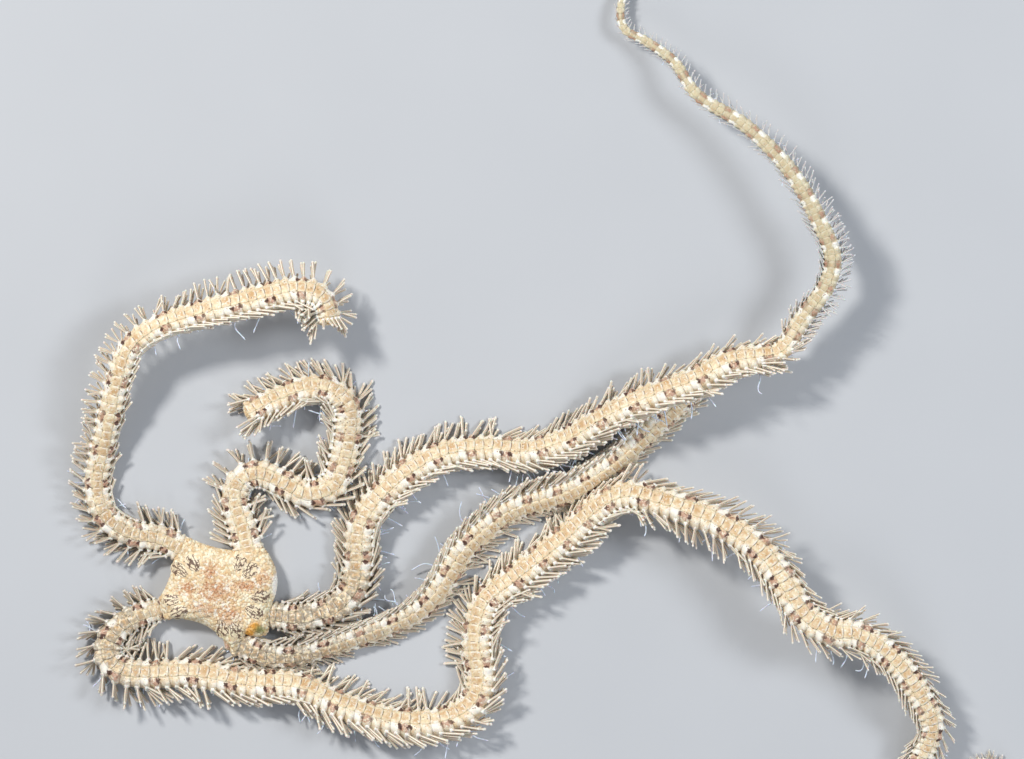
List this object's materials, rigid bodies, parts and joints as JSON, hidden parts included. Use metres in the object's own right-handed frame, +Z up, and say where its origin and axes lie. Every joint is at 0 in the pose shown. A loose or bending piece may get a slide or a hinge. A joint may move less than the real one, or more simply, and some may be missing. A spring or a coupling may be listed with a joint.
{
  "type": "brittle star",
  "caption": "Long-armed brittle star at life size: a small puffy disc with five long, spiny, winding arms, as a still model that lies flat.",
  "frame": {"origin": "on the floor under the middle of the disc, at the flat underside that the disc rests on", "axes": "+Z up out of the disc's back; +X and +Y lie on the floor, +X towards the long winding arms and +Y towards the arm that curls over the top"},
  "size_m": [0.1082, 0.1004, 0.0085],
  "materials": {
    "disc": "fine granular skin, mottled cream and pinkish brown",
    "arm": "matt chalky plates, cream with brown spots, glassy spines"
  },
  "bodies": {
    "root": {"disc": "disc", "arm_a_1": "arm", "arm_a_2": "arm", "arm_a_3": "arm", "arm_a_4": "arm", "arm_b_1": "arm", "arm_b_2": "arm", "arm_b_3": "arm", "arm_b_4": "arm", "arm_c_1": "arm", "arm_c_2": "arm", "arm_c_3": "arm", "arm_c_4": "arm", "arm_c_5": "arm", "arm_c_6": "arm", "arm_c_7": "arm", "arm_c_8": "arm", "arm_c_9": "arm", "arm_d_1": "arm", "arm_d_2": "arm", "arm_d_3": "arm", "arm_d_4": "arm", "arm_e_1": "arm", "arm_e_2": "arm", "arm_e_3": "arm", "arm_e_4": "arm", "arm_e_5": "arm", "arm_e_6": "arm", "arm_e_7": "arm", "arm_e_8": "arm", "arm_e_9": "arm", "arm_e_10": "arm", "arm_e_11": "arm"}
  },
  "joints": []
}
